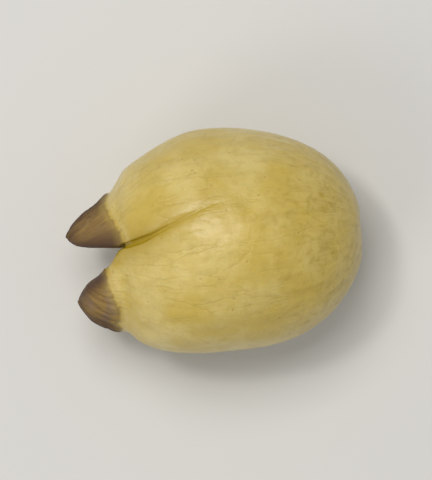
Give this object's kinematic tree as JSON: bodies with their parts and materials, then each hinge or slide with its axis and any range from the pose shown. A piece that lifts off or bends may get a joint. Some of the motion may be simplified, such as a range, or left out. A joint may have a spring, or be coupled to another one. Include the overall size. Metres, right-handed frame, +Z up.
{
  "type": "lotus seed",
  "caption": "Dried, peeled lotus seed lying on its side: a round khaki kernel whose halves part at the tip into brown-skinned beaks, with a seam running back from the fork.",
  "frame": {"origin": "centre of the seed's box, on the surface that its resting flat lies on", "axes": "+X along the seed from its parted tips to its round base, +Y across it towards the half whose beak is the longer, +Z up out of the resting flat"},
  "size_m": [0.0152, 0.0116, 0.0111],
  "materials": {
    "seed_flesh": "dry, waxy khaki-cream seed flesh, satin, with olive mottling along the seam and matt brown skin left on the tips"
  },
  "bodies": {
    "root": {"lotus_seed_kernel": "seed_flesh"}
  },
  "joints": []
}
